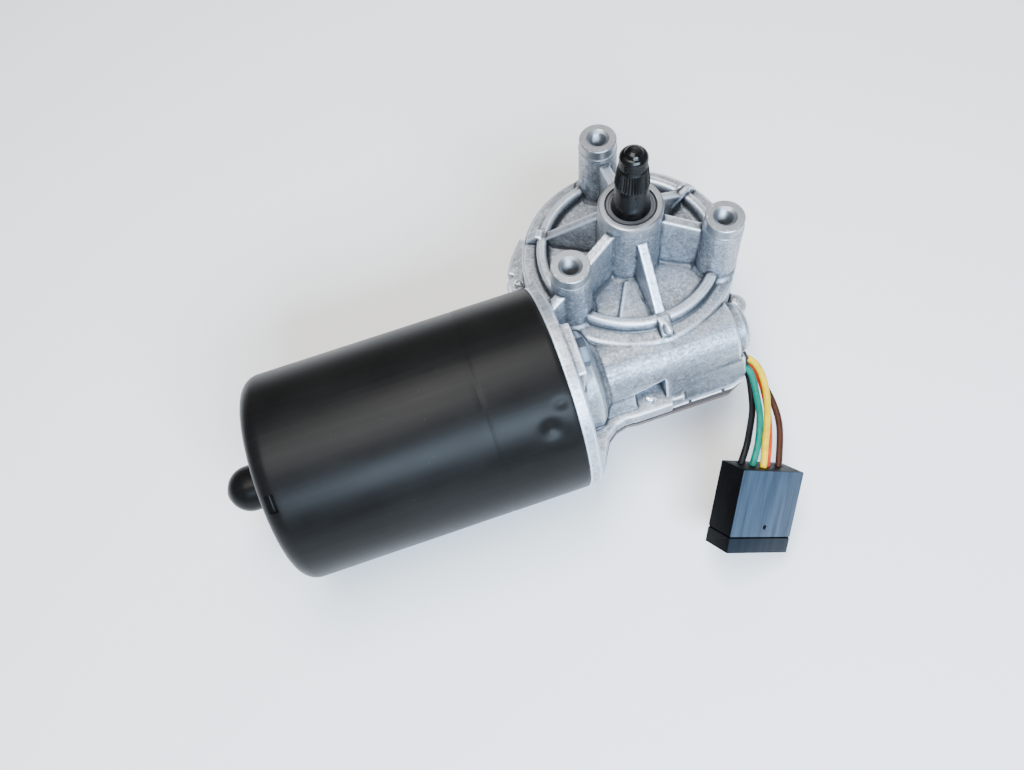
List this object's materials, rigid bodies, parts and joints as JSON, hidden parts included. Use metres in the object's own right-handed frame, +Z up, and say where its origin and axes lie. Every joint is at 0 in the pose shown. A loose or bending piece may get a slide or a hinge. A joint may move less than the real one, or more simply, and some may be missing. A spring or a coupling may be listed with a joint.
{
  "type": "wiper motor",
  "caption": "Windscreen wiper motor: a black drawn steel can on a ribbed die-cast gear case with an upright toothed output shaft, mounting bosses and coloured leads to a connector.",
  "frame": {"origin": "output shaft axis at the plane of the three mounting boss tops", "axes": "+Z up the output shaft, +X along the motor axis from the can towards the closed end of the worm housing"},
  "size_m": [0.2236, 0.1732, 0.1216],
  "materials": {
    "cast_alloy": "rough",
    "plate_steel": "satin",
    "black_steel": "satin",
    "steel": "satin",
    "dark_steel": "satin",
    "bronze": "satin",
    "seal_grey": "matte",
    "rubber_black": "matte",
    "gasket": "matte",
    "nylon": "matte",
    "ferrite": "matte",
    "board": "matte",
    "carbon": "matte",
    "copper": "satin",
    "lead_black": "satin",
    "lead_green": "satin",
    "lead_yellow": "satin",
    "lead_red": "satin",
    "lead_brown": "satin",
    "connector": "satin"
  },
  "bodies": {
    "motor": {"gear_case": "cast_alloy", "output_bushes": "bronze", "shaft_seal": "seal_grey", "cover_gasket": "gasket", "cover_plate": "plate_steel", "cover_screws": "steel", "thrust_button": "nylon", "motor_can": "black_steel", "can_lugs": "black_steel", "can_bolts": "dark_steel", "field_magnets": "ferrite", "magnet_clips": "steel", "rear_bush": "bronze", "rear_ball": "steel", "bearing_outer_race": "steel", "bearing_balls": "steel", "brush_plate": "board", "brushes": "carbon", "brush_springs": "steel", "worm_bush": "bronze", "thrust_adjuster": "steel", "contact_plate": "board", "contact_springs": "copper", "terminal_block": "rubber_black", "lead_grommet": "rubber_black", "lead_black": "lead_black", "lead_green": "lead_green", "lead_yellow": "lead_yellow", "lead_red": "lead_red", "lead_brown": "lead_brown", "connector_housing": "connector", "connector_lock": "connector"},
    "armature": {"armature_shaft": "steel", "worm": "steel", "bearing_inner_race": "steel", "armature_core": "dark_steel", "armature_windings": "copper", "commutator": "copper"},
    "output": {"output_shaft": "dark_steel", "worm_wheel": "nylon", "wheel_hub": "steel", "thrust_washer": "bronze", "park_disc": "copper"}
  },
  "joints": [
    {"name": "armature_spin", "type": "hinge", "parent": "motor", "child": "armature", "pos_m": [0, -0.04, -0.046], "axis": [1, 0, 0], "continuous": true},
    {"name": "output_spin", "type": "hinge", "parent": "motor", "child": "output", "pos_m": [0, 0, 0], "axis": [0, 0, 1], "continuous": true}
  ],
  "couplings": [
    {"joint": "output_spin", "follows": "armature_spin", "ratio": -0.016667}
  ]
}
